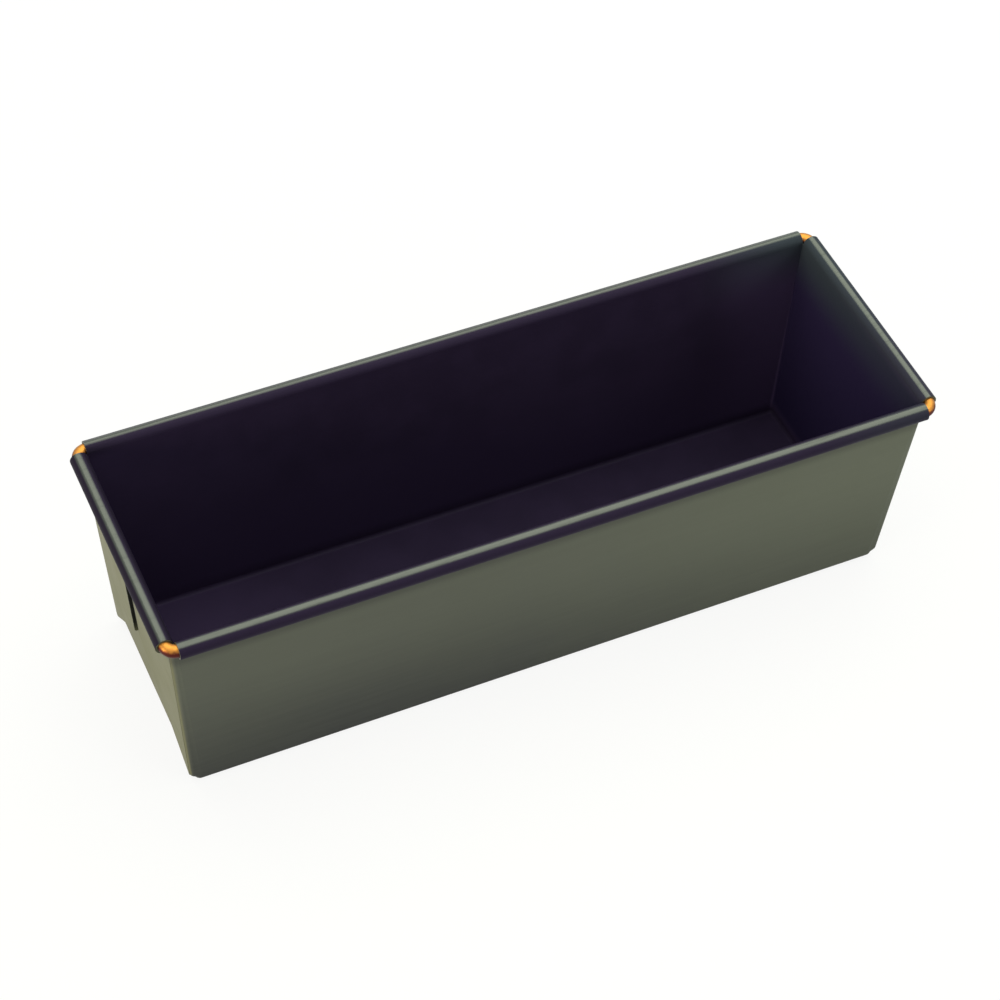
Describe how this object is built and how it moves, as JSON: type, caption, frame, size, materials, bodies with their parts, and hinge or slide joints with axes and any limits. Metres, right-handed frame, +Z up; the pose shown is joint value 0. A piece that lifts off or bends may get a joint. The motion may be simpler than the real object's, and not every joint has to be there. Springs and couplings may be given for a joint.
{
  "type": "pullman loaf pan",
  "caption": "Long loaf pan folded from one dark-lined steel sheet, with leaning walls, a wired rolled rim and double corner flaps on the ends.",
  "frame": {"origin": "middle of the flat base, on the table", "axes": "+X along the length, +Y across towards the back long wall, +Z up out of the opening"},
  "size_m": [0.3134, 0.1084, 0.095],
  "materials": {
    "steel_sheet": "satin olive-grey lacquer on steel",
    "nonstick": "dark satin non-stick layer",
    "copper_wire": "copper-coloured drawn wire, satin"
  },
  "bodies": {
    "root": {"pan_body": "steel_sheet", "nonstick_coating": "nonstick", "rim_wire": "copper_wire"}
  },
  "joints": []
}
